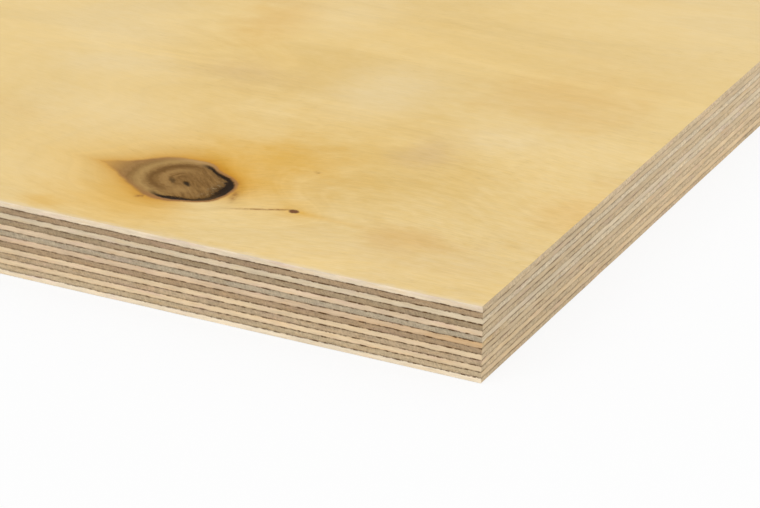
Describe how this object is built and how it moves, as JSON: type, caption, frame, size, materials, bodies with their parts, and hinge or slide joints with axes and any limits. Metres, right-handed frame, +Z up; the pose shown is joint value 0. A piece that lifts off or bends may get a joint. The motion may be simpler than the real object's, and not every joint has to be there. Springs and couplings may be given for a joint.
{
  "type": "plywood sheet",
  "caption": "Flat birch plywood sheet with sanded faces and square sawn edges that show its crossed veneers.",
  "frame": {"origin": "middle of the underside", "axes": "+X along the length and the grain of the faces, +Y across them towards the back, +Z up through the plies"},
  "size_m": [1.22, 0.61, 0.018],
  "materials": {
    "face_birch": "matte",
    "long_birch": "matte",
    "cross_birch": "matte"
  },
  "bodies": {
    "root": {"face_veneer": "face_birch", "cross_ply_1": "cross_birch", "cross_ply_2": "cross_birch", "cross_ply_3": "cross_birch", "cross_ply_4": "cross_birch", "cross_ply_5": "cross_birch", "cross_ply_6": "cross_birch", "long_ply_1": "long_birch", "long_ply_2": "long_birch", "long_ply_3": "long_birch", "long_ply_4": "long_birch", "long_ply_5": "long_birch", "back_veneer": "face_birch"}
  },
  "joints": []
}
